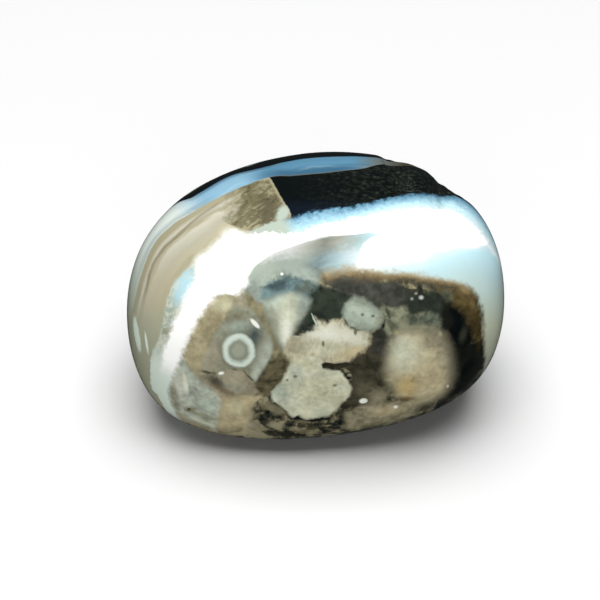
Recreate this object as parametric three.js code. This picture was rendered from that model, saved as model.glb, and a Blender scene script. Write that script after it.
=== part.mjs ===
// A tumbled agate pebble: one solid piece of stone, 30 mm long, polished all over but for a seam of
// shallow troughs near its upper right, where the tumbling did not reach the bottom of the rough stone.
//
// Millimetres. +X runs along the stone's length, +Y to its back and +Z up. The origin is the middle of
// the stone's footprint, on the flat that it rests on.

import * as THREE from "three";
import { mergeVertices } from "three/addons/utils/BufferGeometryUtils.js";

// ---------------------------------------------------------------- driving dimensions

// How softly one worn face rounds into the next: 2 gives an egg, and 20 a cut gem.
const EDGE_SOFTNESS = 6;

// The worn faces of the stone: heading from +X towards +Y and tilt above level, in degrees, and the
// distance of the face from the stone's middle in mm.
const WORN_FACES = [
  { name: "right end", heading: 0, tilt: 0, distance: 16.0 },
  { name: "back right", heading: 45, tilt: 0, distance: 15.0 },
  { name: "back", heading: 90, tilt: 0, distance: 12.6 },
  { name: "back left", heading: 135, tilt: 0, distance: 14.7 },
  { name: "left end", heading: 180, tilt: 0, distance: 16.0 },
  { name: "front left", heading: 225, tilt: 0, distance: 16.1 },
  { name: "front", heading: 270, tilt: 0, distance: 10.4 },
  { name: "front right", heading: 315, tilt: 0, distance: 15.5 },
  { name: "upper right", heading: 0, tilt: 50, distance: 16.2 },
  { name: "upper back right", heading: 60, tilt: 50, distance: 14.5 },
  { name: "upper back left", heading: 120, tilt: 50, distance: 13.1 },
  { name: "upper left", heading: 180, tilt: 50, distance: 14.4 },
  { name: "upper front left", heading: 240, tilt: 50, distance: 13.0 },
  { name: "upper front right", heading: 300, tilt: 50, distance: 13.5 },
  { name: "top", heading: 0, tilt: 90, distance: 11.1 },
  { name: "lower right", heading: 0, tilt: -50, distance: 15.8 },
  { name: "lower back right", heading: 60, tilt: -50, distance: 12.8 },
  { name: "lower back left", heading: 120, tilt: -50, distance: 12.7 },
  { name: "lower left", heading: 180, tilt: -50, distance: 15.6 },
  { name: "lower front left", heading: 240, tilt: -50, distance: 15.9 },
  { name: "lower front right", heading: 300, tilt: -50, distance: 12.3 },
  { name: "underside", heading: 0, tilt: -90, distance: 8.6 },
];

// How far the resting flat is worn into the rounded underside.
const FLAT_WEAR = 0.15;

// The unpolished seam: troughs that run from front to back, each one's middle in mm from the stone's
// middle, its half length, half width and depth, and its turn from +Y towards -X in degrees.
const TROUGHS = [
  { name: "main", x: 10.4, y: 3.0, halfLength: 8.9, halfWidth: 2.3, depth: 0.44, turn: -4 },
  { name: "bottom of main", x: 10.2, y: 3.4, halfLength: 5.8, halfWidth: 1.0, depth: 0.24, turn: 5 },
  { name: "inner", x: 6.6, y: 4.6, halfLength: 7.4, halfWidth: 1.5, depth: 0.4, turn: 8 },
];

// The troughs are fully deep at this height above the stone's middle, and fade out down to it.
const SEAM_RISE = 4;

// Cells along one edge of the cube that is blown up into the stone's mesh.
const CELLS = 24;

// ---------------------------------------------------------------- the shape

// The unit vector with this heading and tilt.
function direction(heading, tilt) {
  const a = THREE.MathUtils.degToRad(heading);
  const t = THREE.MathUtils.degToRad(tilt);
  return new THREE.Vector3(Math.cos(a) * Math.cos(t), Math.sin(a) * Math.cos(t), Math.sin(t));
}

const faces = WORN_FACES.map((f) => ({ out: direction(f.heading, f.tilt), distance: f.distance }));

// The stone's surface along the unit vector d: a polyhedron's nearest face, with a soft maximum in
// place of the sharp one, so that its edges and corners are rounded.
function wornPoint(d) {
  const sum = faces.reduce(
    (total, f) => total + Math.max(0, d.dot(f.out) / f.distance) ** EDGE_SOFTNESS,
    0,
  );
  return d.clone().multiplyScalar(sum ** (-1 / EDGE_SOFTNESS));
}

// How deep the troughs of the unpolished seam are at a point of the surface.
function seamDepth(p) {
  const depth = TROUGHS.reduce((total, t) => {
    const turn = THREE.MathUtils.degToRad(t.turn);
    const [dx, dy] = [p.x - t.x, p.y - t.y];
    const along = (dy * Math.cos(turn) - dx * Math.sin(turn)) / t.halfLength;
    const across = (dx * Math.cos(turn) + dy * Math.sin(turn)) / t.halfWidth;
    const inside = Math.max(0, 1 - along * along - across * across);
    return total + t.depth * inside * inside;
  }, 0);
  return depth * THREE.MathUtils.smoothstep(p.z, 0, SEAM_RISE);
}

// A cube's corner-to-corner grid, spread evenly over the sphere.
function sphereDirections(cells) {
  const cube = new THREE.BoxGeometry(2, 2, 2, cells, cells, cells);
  cube.deleteAttribute("normal");
  cube.deleteAttribute("uv");
  const merged = mergeVertices(cube, 1e-4);
  const place = merged.getAttribute("position");
  const v = new THREE.Vector3();
  for (let i = 0; i < place.count; i++) {
    v.fromBufferAttribute(place, i);
    v.set(...v.toArray().map((c) => Math.tan((c * Math.PI) / 4))).normalize();
    place.setXYZ(i, v.x, v.y, v.z);
  }
  return merged;
}

function agateGeometry() {
  const geometry = sphereDirections(CELLS);
  const place = geometry.getAttribute("position");
  const v = new THREE.Vector3();
  for (let i = 0; i < place.count; i++) {
    const surface = wornPoint(v.fromBufferAttribute(place, i));
    surface.addScaledVector(surface.clone().normalize(), -seamDepth(surface));
    place.setXYZ(i, surface.x, surface.y, surface.z);
  }

  geometry.computeBoundingBox();
  const { min, max } = geometry.boundingBox;
  const floor = min.z + FLAT_WEAR;
  for (let i = 0; i < place.count; i++) {
    place.setZ(i, Math.max(place.getZ(i), floor));
  }
  return geometry.translate(-(min.x + max.x) / 2, -(min.y + max.y) / 2, -floor);
}

// ---------------------------------------------------------------- the part

const agate = new THREE.Mesh(
  agateGeometry(),
  new THREE.MeshStandardMaterial({ color: 0xa8a596, roughness: 0.12, metalness: 0 }),
);
agate.name = "agate";

const part = new THREE.Group();
part.add(agate);

export default part;
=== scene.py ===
import math
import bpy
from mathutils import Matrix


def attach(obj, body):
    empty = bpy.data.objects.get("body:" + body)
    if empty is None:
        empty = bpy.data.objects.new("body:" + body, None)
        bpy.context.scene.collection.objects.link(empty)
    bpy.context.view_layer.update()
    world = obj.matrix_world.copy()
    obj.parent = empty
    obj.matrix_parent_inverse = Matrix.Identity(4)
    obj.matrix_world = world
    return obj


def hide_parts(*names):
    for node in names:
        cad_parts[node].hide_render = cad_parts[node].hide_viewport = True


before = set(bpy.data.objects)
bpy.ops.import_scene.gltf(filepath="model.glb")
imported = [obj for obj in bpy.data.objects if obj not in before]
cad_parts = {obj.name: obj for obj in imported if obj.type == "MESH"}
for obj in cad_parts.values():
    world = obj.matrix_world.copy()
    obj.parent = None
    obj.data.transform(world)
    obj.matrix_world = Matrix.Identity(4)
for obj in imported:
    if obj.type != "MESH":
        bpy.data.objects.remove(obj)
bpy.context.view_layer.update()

from types import SimpleNamespace

import bpy
import numpy as np
from bpy.props import FloatProperty, FloatVectorProperty, IntProperty, PointerProperty
from mathutils import Vector

bl_info = {
    "name": "Agate gemstone",
    "version": (1, 0, 0),
    "blender": (4, 5, 0),
    "location": "View3D > Sidebar > Agate",
    "description": "A tumbled agate pebble with bands, fragments and an eye",
    "category": "Object",
}

MM = 0.001

# ---------------------------------------------------------------- sizes

# How softly one worn face rounds into the next.
EDGE_SOFTNESS = 6

# The worn faces: heading from +X towards +Y and tilt above level in degrees, and distance in mm.
WORN_FACES = (
    (0, 0, 16.0),
    (45, 0, 15.0),
    (90, 0, 12.6),
    (135, 0, 14.7),
    (180, 0, 16.0),
    (225, 0, 16.1),
    (270, 0, 10.4),
    (315, 0, 15.5),
    (0, 50, 16.2),
    (60, 50, 14.5),
    (120, 50, 13.1),
    (180, 50, 14.4),
    (240, 50, 13.0),
    (300, 50, 13.5),
    (0, 90, 11.1),
    (0, -50, 15.8),
    (60, -50, 12.8),
    (120, -50, 12.7),
    (180, -50, 15.6),
    (240, -50, 15.9),
    (300, -50, 12.3),
    (0, -90, 8.6),
)

# How far the resting flat is worn into the underside, in mm.
FLAT_WEAR = 0.15

# The troughs of the unpolished seam: middle x and y, half length, half width and depth in mm, and
# turn from +Y towards -X in degrees.
TROUGHS = (
    (10.4, 3.0, 8.9, 2.3, 0.44, -4),
    (10.2, 3.4, 5.8, 1.0, 0.24, 5),
    (6.6, 4.6, 7.4, 1.5, 0.40, 8),
)

# The troughs are fully deep at this height in mm above the stone's middle, and fade out down to it.
SEAM_RISE = 4

# The seam is wholly unpolished where its troughs are at least this deep, in mm.
OPEN_DEPTH = 0.3

# Lengths in mm of the slow waves in the polish, and of the lumps in the unpolished seam.
SWELL_LENGTHS = (9.0, 4.0)
LUMP_LENGTHS = (1.6, 0.8)

# How far each chart of the UV map stays clear of its edge, as a share of the chart's side.
CHART_MARGIN = 0.02

# The polish: its roughness, how much more there is in the wear, the roughness of the open seam, the
# height of the fine lumps in the seam as a share of a millimetre, and the refraction of quartz.
POLISH, WEAR, OPEN_ROUGHNESS = 0.05, 0.05, 0.35
FINE_LUMPS = 0.12
QUARTZ_IOR = 1.54

# The middle of the stone in the row frame, from which the pattern's own coordinates are measured,
# and the tilt above level of the pattern's third axis, which points out of the eye's side.
PATTERN_MIDDLE = (0.0, -1.0 * MM, 8.5 * MM)
PATTERN_TILT = math.radians(35)

# The stage, in metres: where each soft light stands and how large it is, and the middle of the
# stone, which they point at. The key and the fill light the stone, the window shines in its polish.
LIGHT_AIM = (0.0, -0.001, 0.0085)
KEY_PLACE, KEY_SIZE = (0.0, 0.0, 0.40), (0.40, 0.40)
FILL_PLACE, FILL_SIZE = (0.0, -0.35, 0.15), (0.30, 0.20)
WINDOW_PLACE, WINDOW_SIZE = (0.085, 0.175, 0.36), (0.11, 0.05)
FLOOR_REACH = 1.0

# The dim light from all round the stage.
SKY_COLOUR, SKY_STRENGTH = (0.8, 0.9, 1.0, 1), 0.02

# The camera stands on the pattern's third axis: its lens and sensor in mm, its distance in metres
# from the middle of the stone's own box, that middle in mm, and how far to the left of the middle
# and above it the camera aims.
LENS, SENSOR = 128.2, 36.0
CAMERA_DISTANCE = 0.170
CAMERA_MIDDLE = (-0.036, -0.966, 8.347)
AIM_LEFT, AIM_UP = 1.184 * MM, 0.081 * MM

# ---------------------------------------------------------------- settings in the sidebar


def srgb(r, g, b):
    """A colour given as 0 to 255 on the screen, as the linear numbers that shaders use."""
    c = np.array([r, g, b]) / 255
    return tuple(np.where(c <= 0.04045, c / 12.92, ((c + 0.055) / 1.055) ** 2.4).tolist())


def tint(name, use, r, g, b):
    """A colour setting whose default is given as 0 to 255 on the screen."""
    return FloatVectorProperty(
        name=name,
        description=f"Colour of {use}",
        default=srgb(r, g, b),
        subtype="COLOR",
        min=0,
        max=1,
    )


class AgateColourSettings(bpy.types.PropertyGroup):
    milk: tint("Milk", "the white band", 240, 240, 236)
    mint: tint("Mint", "the tail of the white band and the ring of the eye", 196, 208, 196)
    mint_dim: tint("Dim mint", "pale green flecks", 166, 178, 162)
    mist: tint("Mist", "the clear part of the white band", 163, 188, 190)
    ice_mist: tint("Ice mist", "the bluest clear part of the white band", 168, 202, 210)
    right_grey: tint("Grey-green", "the clear right end", 168, 185, 176)
    right_mid: tint("Grey-olive", "the foot of the right end", 174, 181, 158)
    right_low: tint("Olive-grey", "the lowest part of the right end", 152, 153, 138)
    ice_white: tint("Ice white", "pale frost", 190, 206, 210)
    ice_cyan: tint("Ice cyan", "pale blue frost", 160, 192, 200)
    ice_blue: tint("Ice blue", "blue frost", 124, 160, 176)
    frost_blue: tint("Frost blue", "the darker frost", 84, 122, 142)
    steel: tint("Steel", "blue shadow in the frost", 34, 56, 68)
    arc: tint("Pale arc", "the far left arc of the blue band", 196, 204, 197)
    arc_dark: tint("Grey arc", "the arc's lower part", 165, 174, 160)
    pale_blue: tint("Pale blue", "the light part of the blue band", 120, 157, 177)
    sky: tint("Sky", "the blue band", 76, 119, 143)
    deep_blue: tint("Deep blue", "the dark lines of the blue band", 52, 86, 108)
    navy: tint("Navy", "black stone with a blue shine", 12, 18, 26)
    beige: tint("Beige", "the grey end of the blue band", 92, 100, 97)
    slate: tint("Slate", "blue-grey stone", 93, 114, 115)
    slate_light: tint("Light slate", "pale blue-grey stone", 112, 138, 139)
    slate_dark: tint("Dark slate", "dark blue-grey stone", 66, 80, 80)
    slate_deep: tint("Deep slate", "the darkest blue-grey stone", 52, 64, 66)
    teal: tint("Teal", "grey-green chalcedony", 140, 152, 140)
    teal_light: tint("Light teal", "pale grey-green chalcedony", 150, 160, 148)
    frost: tint("Frost", "frosted grey-green stone", 169, 177, 162)
    frost_warm: tint("Warm frost", "frosted grey stone", 184, 186, 170)
    frost_dark: tint("Dark frost", "shadow in the frosted stone", 128, 132, 116)
    fog: tint("Fog", "clear grey chalcedony", 129, 138, 129)
    haze_white: tint("White haze", "the white end of the smoky tongue", 186, 186, 183)
    haze_grey: tint("Grey haze", "the smoky tongue", 166, 167, 164)
    haze_dark: tint("Dark haze", "the darker foot of the tongue", 134, 137, 127)
    haze_light: tint("Light haze", "the palest veil in the tongue", 136, 157, 159)
    haze_blue: tint("Blue haze", "the clear end of the tongue", 138, 152, 149)
    haze_brown: tint("Brown haze", "smoke in the tongue", 106, 108, 98)
    haze_deep: tint("Deep haze", "the dark foot of the tongue", 98, 114, 116)
    haze_edge: tint("Haze edge", "where the tongue meets the white band", 170, 183, 186)
    cream: tint("Cream", "pale streaks of the brown band", 170, 167, 151)
    cream_grey: tint("Grey cream", "broad streaks of the brown band", 152, 150, 133)
    sand_light: tint("Light sand", "the lower brown band", 156, 150, 126)
    straw: tint("Straw", "grey-tan stone", 143, 138, 113)
    olive: tint("Olive", "the feet of the bands", 147, 150, 128)
    knot: tint("Knot", "the brown knot", 96, 92, 70)
    sand: tint("Sand", "tan stone", 157, 148, 118)
    sand_warm: tint("Warm sand", "orange-tan stone", 176, 163, 127)
    ochre: tint("Ochre", "brown stone", 130, 125, 98)
    bark: tint("Bark", "dark olive-brown stone", 96, 90, 66)
    bark_dark: tint("Dark bark", "dark brown stone", 52, 44, 22)
    rust: tint("Rust", "the brown rim under the white band", 119, 105, 77)
    rust_grey: tint("Grey rust", "the greyer grains of the rim", 82, 73, 55)
    rust_dark: tint("Dark rust", "brown spots", 108, 88, 58)
    gold_rim: tint("Pale gold", "the bright edge of the rim", 151, 140, 111)
    gold: tint("Gold", "the golden foot of the oval", 165, 147, 100)
    gold_brown: tint("Golden brown", "the brown corner", 90, 78, 49)
    umber: tint("Umber", "dark brown stone", 66, 62, 49)
    plum: tint("Plum", "purple-black stone", 60, 58, 52)
    plum_grey: tint("Grey plum", "purple-grey stone", 66, 66, 60)
    plum_light: tint("Light plum", "grey-brown stone", 122, 117, 97)
    soot: tint("Soot", "black stone", 7, 11, 11)
    night_green: tint("Night green", "the grains of the black band", 28, 32, 27)
    pitch: tint("Pitch", "brown-black stone", 34, 34, 25)
    moss_black: tint("Black moss", "green-black stone", 32, 37, 31)
    moss: tint("Moss", "dark green stone", 48, 55, 46)
    moss_grey: tint("Grey moss", "grey-green dark stone", 88, 94, 80)
    moss_light: tint("Light moss", "grey-green stone", 126, 128, 105)
    sage: tint("Sage", "grey-green stone round the eye", 124, 124, 105)
    sage_light: tint("Light sage", "paler stone round the eye", 148, 154, 136)
    eye: tint("Eye", "the middle of the eye", 147, 151, 133)
    eye_rim: tint("Eye rim", "the thin line round the middle of the eye", 116, 122, 104)
    lichen: tint("Lichen", "pale green fragments", 148, 158, 143)
    lichen_dark: tint("Dark lichen", "shadow in the pale green fragments", 112, 122, 108)
    oval: tint("Oval", "the big tan fragment", 174, 166, 135)
    oval_grey: tint("Grey oval", "shadow in the big tan fragment", 140, 134, 108)
    warm_grey: tint("Warm grey", "the warm side of the eye's stone", 146, 140, 118)
    wool: tint("Wool", "fluffy cream fragment", 184, 180, 153)
    bone: tint("Bone", "the pale slab", 190, 192, 168)
    bone_warm: tint("Warm bone", "the warmer parts of the pale slab", 172, 170, 141)
    shell: tint("Shell", "the brightest cream", 214, 215, 198)
    # Glint: the colour of painted highlights, the glints painted as pale specks in the pattern.
    glint: tint("Glint", "painted glints, highlights painted as pale specks", 225, 228, 218)


class AgateShapeSettings(bpy.types.PropertyGroup):
    cells: IntProperty(
        name="Cells",
        description="Cells along one edge of the cube that is blown up into the stone",
        default=120,
        min=12,
        max=128,
    )
    swell: FloatProperty(
        name="Swell",
        description="Height of the slow waves that hand tumbling leaves in the polish",
        default=0.03 * MM,
        unit="LENGTH",
        precision=6,
    )
    seam_lumps: FloatProperty(
        name="Seam lumps",
        description="Height of the lumps in the unpolished seam",
        default=0.10 * MM,
        unit="LENGTH",
        precision=6,
    )


class AgateStageSettings(bpy.types.PropertyGroup):
    key_power: FloatProperty(
        name="Key light",
        description="Power of the softbox over the stone",
        default=4.0,
        unit="POWER",
    )
    window_power: FloatProperty(
        name="Window light",
        description="Power of the small softbox that shines in the polish",
        default=0.17,
        unit="POWER",
    )
    fill_power: FloatProperty(
        name="Fill light",
        description="Power of the soft light in front of the stone",
        default=0.5,
        unit="POWER",
    )
    floor_colour: FloatVectorProperty(
        name="Floor",
        description="Colour of the floor",
        default=(0.5, 0.5, 0.5),
        subtype="COLOR",
    )


# ---------------------------------------------------------------- the stone's surface


def direction(heading, tilt):
    """Unit vectors with these headings and tilts in degrees."""
    a, t = np.radians(heading), np.radians(tilt)
    return np.stack([np.cos(a) * np.cos(t), np.sin(a) * np.cos(t), np.sin(t)], -1)


def cube_sphere(cells):
    """Six grids of unit vectors, one for each side of a cube.

    On each grid the two parameters a and b run from -45 to 45 degrees, and the direction is that of
    (1, tan a, tan b), turned to the grid's own side of the cube.
    """
    t = np.tan(np.linspace(-np.pi / 4, np.pi / 4, cells + 1))
    a, b = np.meshgrid(t, t, indexing="ij")
    one = np.ones_like(a)
    sides = np.array(
        [
            np.stack(side, -1)
            for side in (
                (one, a, b),
                (-one, -a, b),
                (-a, one, b),
                (a, -one, b),
                (-b, a, one),
                (b, a, -one),
            )
        ]
    )
    return sides / np.linalg.norm(sides, axis=-1, keepdims=True)


def worn_surface(d):
    """The stone's surface along the unit vectors d, in mm from its middle.

    The radius is the -1/p power of the sum over the worn faces of max(0, d . n / h)^p, with a
    face's direction n and distance h: a polyhedron whose edges are rounded by the softness p.
    """
    heading, tilt, distance = np.array(WORN_FACES, float).T
    out = direction(heading, tilt) / distance[:, None]
    total = (np.clip(d @ out.T, 0, None) ** EDGE_SOFTNESS).sum(-1)
    return d * (total ** (-1 / EDGE_SOFTNESS))[..., None]


def seam_depth(p):
    """Depth of the troughs at the points p: depth * max(0, 1 - along^2 - across^2)^2, summed, and
    faded in with height by 3 t^2 - 2 t^3, with t the height as a share of the rise."""
    total = np.zeros(p.shape[:-1])
    for x, y, half_length, half_width, depth, turn in TROUGHS:
        c, s = math.cos(math.radians(turn)), math.sin(math.radians(turn))
        dx, dy = p[..., 0] - x, p[..., 1] - y
        along, across = (dy * c - dx * s) / half_length, (dx * c + dy * s) / half_width
        total += depth * np.clip(1 - along**2 - across**2, 0, None) ** 2
    t = np.clip(p[..., 2] / SEAM_RISE, 0, 1)
    return total * t * t * (3 - 2 * t)


def waves(p, size, seed, count=14):
    """Smooth random waves between about -1 and 1: the mean of plane sine waves whose directions
    and phases come from the seed and whose length is about size, scaled to unit spread."""
    rng = np.random.default_rng(seed)
    k = rng.normal(size=(count, 3))
    k *= (2 * np.pi / size) / np.linalg.norm(k, axis=1, keepdims=True)
    k *= rng.uniform(0.7, 1.3, size=(count, 1))
    phase = rng.uniform(0, 2 * np.pi, count)
    return np.sin(p @ k.T + phase).mean(-1) * math.sqrt(2 * count) / 2


def stone_surface(cells, swell, seam_lumps):
    """The six grids of the finished surface in mm, in the row frame, and how far each point lies
    in the open seam, from 0 to 1."""
    d = cube_sphere(cells)
    p = worn_surface(d)
    depth = seam_depth(p)
    low, high = (p - d * depth[..., None]).reshape(-1, 3).min(0), p.reshape(-1, 3).max(0)
    slow, quick = SWELL_LENGTHS
    depth = depth + swell * (waves(p, slow, seed=4) + 0.5 * waves(p, quick, seed=5))
    rough = np.clip(seam_depth(p) / OPEN_DEPTH, 0, 1)
    large, small = LUMP_LENGTHS
    lumps = 0.5 * waves(p, large, seed=6, count=24) + 0.5 * waves(p, small, seed=7, count=40)
    depth = depth + seam_lumps * rough * lumps
    p = p - d * depth[..., None]
    floor = low[2] + FLAT_WEAR
    p = p - np.array([(low[0] + high[0]) / 2, (low[1] + high[1]) / 2, floor])
    p[..., 2] = np.maximum(p[..., 2], 0)
    return p, rough


def mesh_from_grids(name, grids, seam):
    """A closed mesh from the six grids, welded where they meet, with one chart for each in the UV
    map, three beside each other in two rows, and the seam as an attribute of its points."""
    sides, rows, columns, _ = grids.shape
    index = np.arange(sides * rows * columns).reshape(sides, rows, columns)
    quads = np.stack(
        [index[:, :-1, :-1], index[:, 1:, :-1], index[:, 1:, 1:], index[:, :-1, 1:]], -1
    ).reshape(-1, 4)
    points = grids.reshape(-1, 3)
    _, first, welded = np.unique(
        np.round(cube_sphere(rows - 1).reshape(-1, 3), 6),
        axis=0,
        return_index=True,
        return_inverse=True,
    )
    mesh = bpy.data.meshes.new(name)
    mesh.vertices.add(len(first))
    mesh.vertices.foreach_set("co", (points[first] * MM).ravel())
    corners = welded.reshape(-1)[quads].ravel()
    mesh.loops.add(len(corners))
    mesh.loops.foreach_set("vertex_index", corners)
    mesh.polygons.add(len(quads))
    mesh.polygons.foreach_set("loop_start", np.arange(0, len(corners), 4))
    mesh.polygons.foreach_set("use_smooth", np.ones(len(quads), bool))
    a, b = (np.linspace(CHART_MARGIN, 1 - CHART_MARGIN, count) for count in (rows, columns))
    a, b = np.meshgrid(a, b, indexing="ij")
    side = np.arange(sides)[:, None, None]
    chart = np.stack([(a + side % 3) / 3, (b + side // 3) / 2], -1).reshape(-1, 2)
    mesh.uv_layers.new(name="Charts").uv.foreach_set("vector", chart[quads.ravel()].ravel())
    held = mesh.attributes.new("seam", "FLOAT", "POINT")
    held.data.foreach_set("value", seam.reshape(-1)[first].astype(np.float32))
    mesh.update(calc_edges=True)
    mesh.validate()
    return mesh


# ---------------------------------------------------------------- the finish: nodes as sums


class Field:
    """A number, place or colour at every point of the stone, worked out by shader nodes. Sums,
    differences, products and quotients of number fields are Math nodes."""

    def __init__(self, finish, socket):
        self.finish, self.socket = finish, socket

    def __add__(self, other):
        return self.finish.math("ADD", self, other)

    def __radd__(self, other):
        return self.finish.math("ADD", other, self)

    def __sub__(self, other):
        return self.finish.math("SUBTRACT", self, other)

    def __rsub__(self, other):
        return self.finish.math("SUBTRACT", other, self)

    def __mul__(self, other):
        return self.finish.math("MULTIPLY", self, other)

    def __rmul__(self, other):
        return self.finish.math("MULTIPLY", other, self)

    def __truediv__(self, other):
        return self.finish.math("DIVIDE", self, other)


class Finish:
    """Adds the shader nodes of one material."""

    def __init__(self, name):
        self.material = bpy.data.materials.new(name)
        self.material.use_nodes = True
        self.tree = self.material.node_tree
        self.shader = self.tree.nodes["Principled BSDF"]

    def feed(self, socket, value):
        if isinstance(value, Field):
            self.tree.links.new(value.socket, socket)
        elif isinstance(value, tuple) and socket.type == "RGBA":
            socket.default_value = (*value, 1)
        else:
            socket.default_value = value

    def node(self, kind, output=0, inputs=None, **settings):
        node = self.tree.nodes.new(kind)
        for name, value in settings.items():
            setattr(node, name, value)
        for name, value in (inputs or {}).items():
            self.feed(node.inputs[name], value)
        return Field(self, node.outputs[output])

    def math(self, operation, *values):
        return self.node("ShaderNodeMath", operation=operation, inputs=dict(enumerate(values)))

    def vector(self, operation, *values, output=0):
        return self.node(
            "ShaderNodeVectorMath", output, dict(enumerate(values)), operation=operation
        )

    def larger(self, a, b):
        return self.math("MAXIMUM", a, b)

    def step(self, x, start, end, top=1.0):
        """0 at start and before it, top at end and past it, smooth between them."""
        ends = {"Value": x, "From Min": start, "From Max": end, "To Max": top}
        return self.node("ShaderNodeMapRange", inputs=ends, interpolation_type="SMOOTHSTEP")

    def band(self, x, start, rise, fall, end):
        """0 outside start..end, 1 inside rise..fall."""
        return self.step(x, start, rise) * self.step(x, end, fall)

    def blend(self, share, a, b):
        """a where share is 0, b where it is 1."""
        ends = {"Factor": share, "A": a, "B": b}
        return self.node("ShaderNodeMix", inputs=ends, data_type="FLOAT")

    def over(self, share, under, colour):
        """colour laid over under, as far as share says."""
        node = self.tree.nodes.new("ShaderNodeMix")
        node.data_type = "RGBA"
        for index, value in ((0, share), (6, under), (7, colour)):
            self.feed(node.inputs[index], value)
        return Field(self, node.outputs[2])

    def toned(self, colour, tone):
        """colour made darker where tone is below 0 and lighter where it is above, to -1 and 1."""
        grey = self.ramp(tone * 0.5 + 0.5, ((0.0, (0.0, 0.0, 0.0)), (1.0, (1.0, 1.0, 1.0))))
        shown = self.over(1.0, colour, grey)
        shown.socket.node.blend_type = "OVERLAY"
        return shown

    def place(self, where, middle=(0, 0, 0), turn=0.0, size=(1, 1, 1), tip=0.0):
        """where, seen from middle, turned back by turn and tip in degrees and in units of size."""
        rotation = (0, math.radians(tip), math.radians(turn))
        inputs = {"Vector": where, "Location": middle, "Rotation": rotation, "Scale": size}
        return self.node("ShaderNodeMapping", inputs=inputs, vector_type="TEXTURE")

    def gradient(self, kind, where):
        """LINEAR is the first coordinate, SPHERICAL is 1 less the distance from the origin and
        RADIAL is the turn from the first axis, plus half a circle; each stays from 0 to 1."""
        return self.node("ShaderNodeTexGradient", 1, {"Vector": where}, gradient_type=kind)

    def scaled(self, x, factor, start=0.0):
        """start plus factor times x."""
        return self.math("MULTIPLY_ADD", x, factor, start)

    def parts(self, where):
        node = self.tree.nodes.new("ShaderNodeSeparateXYZ")
        self.feed(node.inputs[0], where)
        return [Field(self, out) for out in node.outputs]

    def curve(self, x, points, top):
        """A smooth curve through points (x, y) for x from 0 to 1, as a share of top."""
        node = self.tree.nodes.new("ShaderNodeFloatCurve")
        self.feed(node.inputs["Value"], x)
        line = node.mapping.curves[0]
        for _ in range(len(points) - 2):
            line.points.new(0.5, 0.5)
        for point, (at, height) in zip(line.points, points):
            point.location = (at, height / top)
        node.mapping.update()
        return Field(self, node.outputs[0])

    def ramp(self, x, stops, between="LINEAR"):
        """Colours at places from 0 to 1, blended between them."""
        node = self.tree.nodes.new("ShaderNodeValToRGB")
        self.feed(node.inputs[0], x)
        node.color_ramp.interpolation = between
        elements = node.color_ramp.elements
        while len(elements) < len(stops):
            elements.new(0.5)
        for element, (at, colour) in zip(elements, stops):
            element.position, element.color = at, (*colour, 1)
        return Field(self, node.outputs[0])

    def noise(self, where, size, detail=2.0, roughness=0.5, distortion=0.0, output=0):
        """Cloudy noise about 0.5 with lumps of this size in mm."""
        inputs = {"Vector": where, "Scale": 1 / size, "Detail": detail}
        inputs |= {"Roughness": roughness, "Distortion": distortion}
        return self.node("ShaderNodeTexNoise", output, inputs)

    def streaks(self, x, size, detail=3.0, roughness=0.6):
        """Noise about 0 that changes along x alone, in steps of this size."""
        inputs = {"W": x, "Scale": 1 / size, "Detail": detail, "Roughness": roughness}
        return self.node("ShaderNodeTexNoise", 0, inputs, noise_dimensions="1D") - 0.5

    def cells(self, where, size, feature="F1", output="Distance", jitter=1.0):
        inputs = {"Vector": where, "Scale": 1 / size, "Randomness": jitter}
        return self.node("ShaderNodeTexVoronoi", output, inputs, feature=feature)

    def shaken(self, where, size, amount, detail=2.0):
        """where, moved about by noise of this size by up to about amount, in mm."""
        push = self.vector("SUBTRACT", self.noise(where, size, detail, output=1), (0.5, 0.5, 0.5))
        inputs = {0: push, "Scale": 2 * amount}
        push = self.node("ShaderNodeVectorMath", inputs=inputs, operation="SCALE")
        return self.vector("ADD", where, push)

    def outline(self, here, corners, w, depth=0.2, middle=None):
        """Distance outside the closed outline through corners (u, v), in mm: negative inside. It
        fades with distance from w along the third axis, which counts depth times.

        The outline is held as its radius against the turn about middle, or the corners' mean.
        """
        corners = np.array(corners, float)
        middle = corners.mean(0) if middle is None else np.array(middle)
        arms = corners - middle
        own = np.arctan2(arms[:, 1], arms[:, 0]) / (2 * np.pi) + 0.5
        turns = np.unique(np.concatenate([np.linspace(0, 1, 37), own]).round(3))
        radii = outline_radii(arms, turns)
        top = radii.max() * 1.05
        far = top + 3
        local = self.place(here.p, (*middle, w), size=(far, far, far / depth))
        radius = self.curve(self.gradient("RADIAL", local), list(zip(turns, radii)), top)
        reach = self.scaled(self.gradient("SPHERICAL", local), -far, far)
        return self.scaled(radius, -top, reach)

    def oval(self, here, middle, radii, turn=0.0):
        """0 in the middle of an ellipsoid, 1 at its edge and more outside it."""
        local = self.place(here.p, middle, turn, [OVAL_REACH * r for r in radii])
        return self.scaled(self.gradient("SPHERICAL", local), -OVAL_REACH, OVAL_REACH)


def outline_radii(corners, turns):
    """The distance from the origin to a closed outline, in the directions of these turns.

    A turn runs anticlockwise from the left (0) over down, right (0.5) and up, back to 1. A ray
    meets the edge from p to q where the cross products of p and q with the ray change sign.
    """
    angle = (turns - 0.5) * 2 * np.pi
    ray = np.stack([np.cos(angle), np.sin(angle)], -1)[:, None]
    p, q = corners[None], np.roll(corners, -1, axis=0)[None]
    side = ray[..., 0] * (q - p)[..., 1] - ray[..., 1] * (q - p)[..., 0]
    cross = p[..., 0] * (q - p)[..., 1] - p[..., 1] * (q - p)[..., 0]
    along = (p[..., 0] * ray[..., 1] - p[..., 1] * ray[..., 0]) / np.where(side == 0, 1e-9, side)
    reach = cross / np.where(side == 0, 1e-9, side)
    met = (reach > 0) & (along >= -1e-6) & (along <= 1 + 1e-6)
    return np.where(met, reach, 0).max(1)


# ---------------------------------------------------------------- the pattern in the stone

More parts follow.
